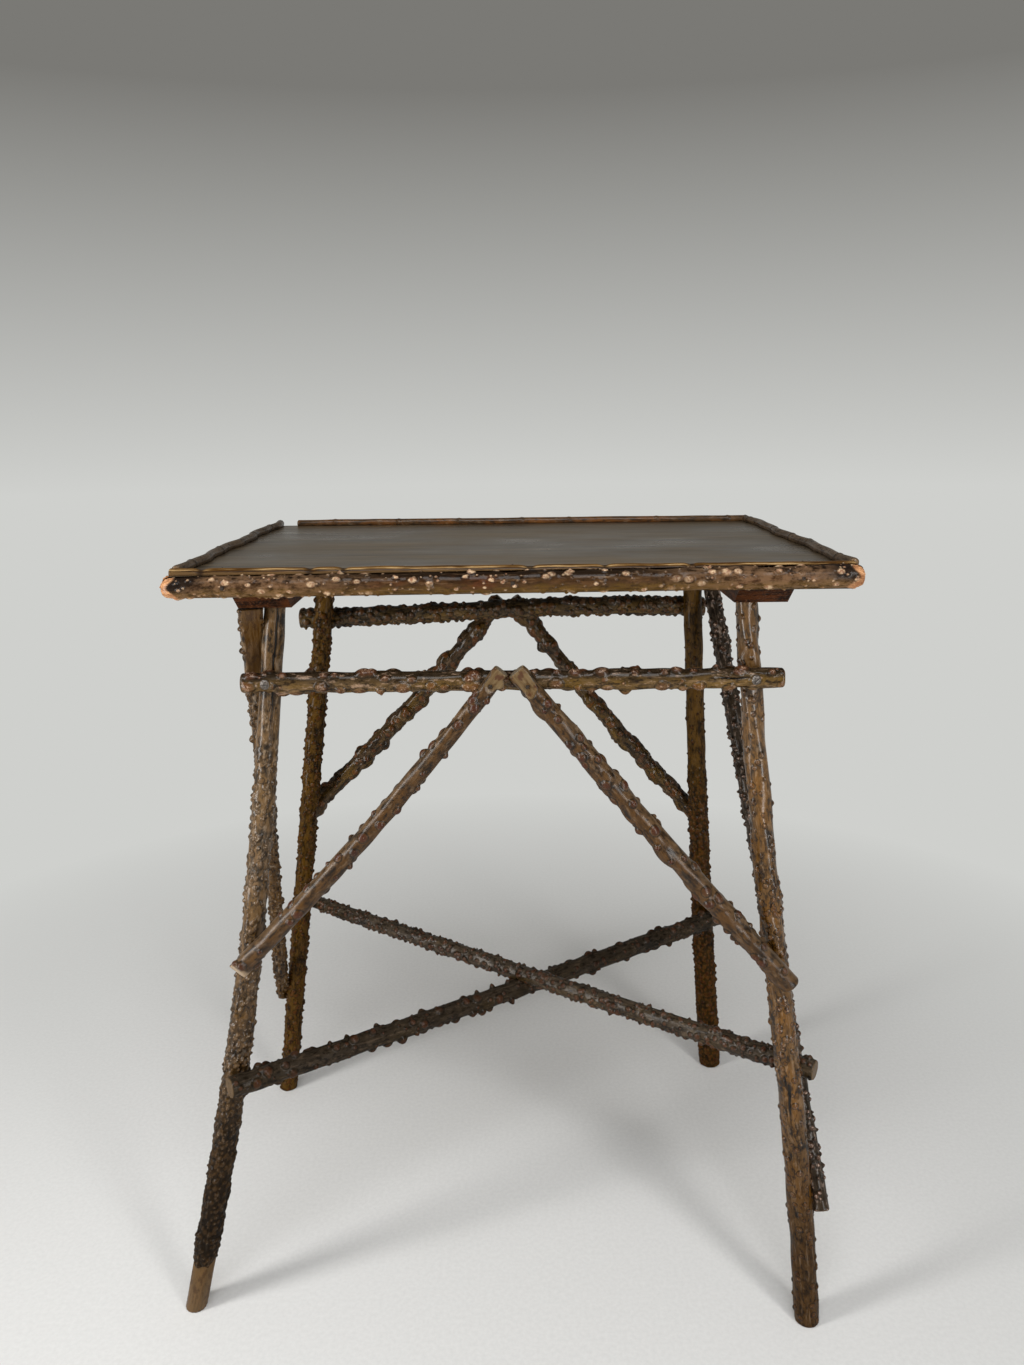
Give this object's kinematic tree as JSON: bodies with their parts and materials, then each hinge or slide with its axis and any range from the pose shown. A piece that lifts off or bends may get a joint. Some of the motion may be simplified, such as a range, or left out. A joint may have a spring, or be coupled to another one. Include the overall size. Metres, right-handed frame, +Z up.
{
  "type": "occasional table",
  "caption": "Rustic side table with a stained board top edged in split logs, on splayed branch legs held by nailed branch rails, braces and crossing stretchers.",
  "frame": {"origin": "on the floor, under the middle of the box around the whole table", "axes": "+Z up, +X to the right seen from the front, +Y to the back"},
  "size_m": [0.6028, 0.4206, 0.7112],
  "materials": {
    "stained_board": "semi-gloss dark stain",
    "bark": "varnished knobbly bark",
    "split_log": "varnished bark",
    "gallery_twig": "varnished twig",
    "sawn_wood": "rough sawn, stained",
    "nail_iron": "dull dark iron",
    "screw_steel": "tarnished steel"
  },
  "bodies": {
    "root": {"top_board": "stained_board", "front_left_leg": "bark", "front_right_leg": "bark", "rear_left_leg": "bark", "rear_right_leg": "bark", "front_rail": "bark", "rear_rail": "bark", "front_left_brace": "bark", "front_right_brace": "bark", "rear_left_brace": "bark", "rear_right_brace": "bark", "left_side_brace": "bark", "right_side_brace": "bark", "lower_stretcher": "bark", "upper_stretcher": "bark", "front_edge_log": "split_log", "rear_edge_log": "split_log", "left_edge_log": "split_log", "right_edge_log": "split_log", "front_gallery_strip": "gallery_twig", "rear_gallery_twig": "gallery_twig", "left_gallery_twig": "gallery_twig", "right_gallery_twig": "gallery_twig", "left_cleat": "sawn_wood", "right_cleat": "sawn_wood", "brace_nails": "nail_iron", "stretcher_nails": "nail_iron", "edge_log_nails": "nail_iron", "gallery_brads": "nail_iron", "cleat_nails": "nail_iron", "rail_screws": "screw_steel"}
  },
  "joints": []
}
